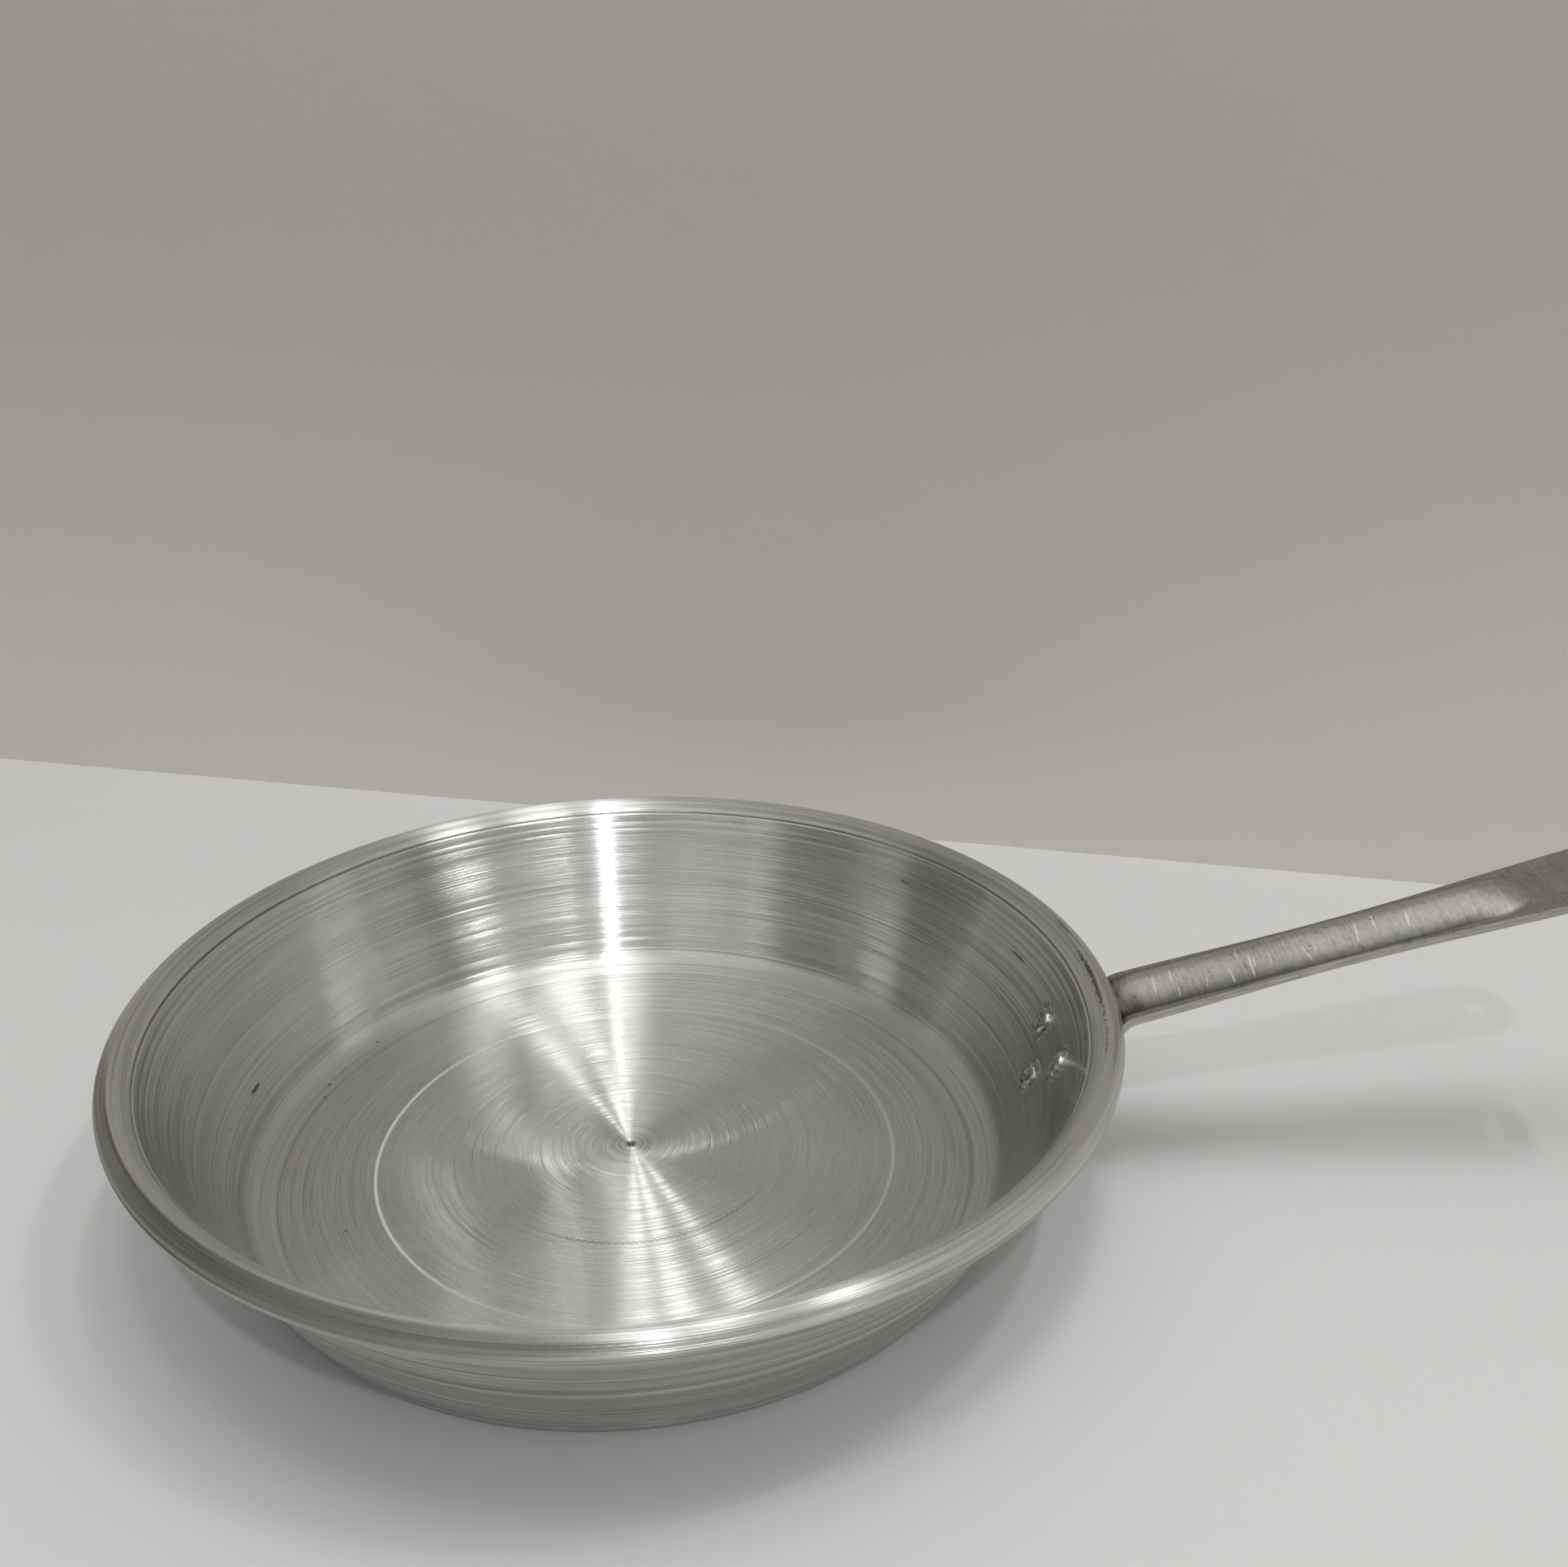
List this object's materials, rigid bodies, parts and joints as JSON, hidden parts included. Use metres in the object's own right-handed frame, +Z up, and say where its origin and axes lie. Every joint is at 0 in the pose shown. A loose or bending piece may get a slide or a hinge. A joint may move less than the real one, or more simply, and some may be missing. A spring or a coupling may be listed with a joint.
{
  "type": "frying pan",
  "caption": "Round metal frying pan with a flat floor, flared wall and rolled rim, and a riveted arched plate handle with a rounded end and hanging hole.",
  "frame": {"origin": "middle of the flat underside of the base, on the axis of the round pan body", "axes": "+Z up along the pan's axis, +X from the axis along the handle, +Y to the left of the handle"},
  "size_m": [0.4694, 0.3, 0.1065],
  "materials": {
    "spun_aluminium": "spun on a lathe: fine rings round the axis, a few deeper turning lines, bright where the rings catch light",
    "satin_steel": "satin plate with fine scratches across its length and a paler cut edge",
    "rivet_aluminium": "smooth hammered heads, a little dented"
  },
  "bodies": {
    "root": {"pan_body": "spun_aluminium", "handle": "satin_steel", "rivet_upper_left": "rivet_aluminium", "rivet_upper_right": "rivet_aluminium", "rivet_lower": "rivet_aluminium"}
  },
  "joints": []
}
